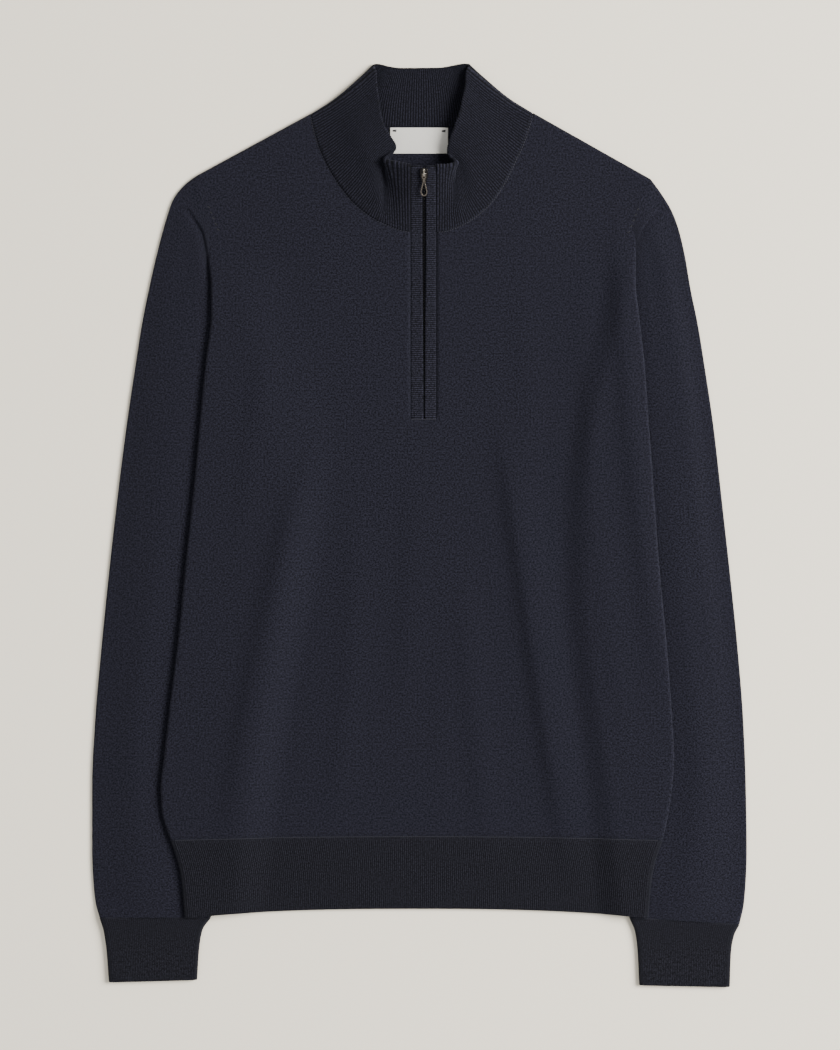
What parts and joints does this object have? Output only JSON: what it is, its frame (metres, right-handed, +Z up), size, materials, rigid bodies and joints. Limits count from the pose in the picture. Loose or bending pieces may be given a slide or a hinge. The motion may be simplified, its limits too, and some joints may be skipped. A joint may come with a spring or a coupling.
{
  "type": "quarter zip sweater",
  "caption": "Fine-gauge quarter zip sweater laid flat face up, with a ribbed stand collar, closed zip, sleeves beside the body and ribbed cuffs and hem.",
  "frame": {"origin": "middle of the garment as it lies, on the surface it rests on", "axes": "+X to the right of a person looking down at the front, +Y towards the collar, +Z up from the table"},
  "size_m": [0.5563, 0.7827, 0.024],
  "materials": {
    "jersey": "matte",
    "rib": "matte",
    "strip": "matte",
    "tape": "matte",
    "teeth": "satin",
    "zip_metal": "satin",
    "label": "satin"
  },
  "bodies": {
    "garment": {"front": "jersey", "back": "jersey", "sleeve_left": "jersey", "sleeve_right": "jersey", "cuff_left": "rib", "cuff_right": "rib", "hem_front": "rib", "hem_back": "rib", "collar": "rib", "placket_left": "strip", "placket_right": "strip", "zip_tape_left": "tape", "zip_tape_right": "tape", "zip_coil": "teeth", "zip_slider": "zip_metal", "label": "label"},
    "pull": {"zip_pull": "zip_metal"}
  },
  "joints": [
    {"name": "pull_swing", "type": "hinge", "parent": "garment", "child": "pull", "pos_m": [0.0034, 0.29623, 0.02188], "axis": [-1, 0, 0], "range_deg": [0, 170]}
  ]
}
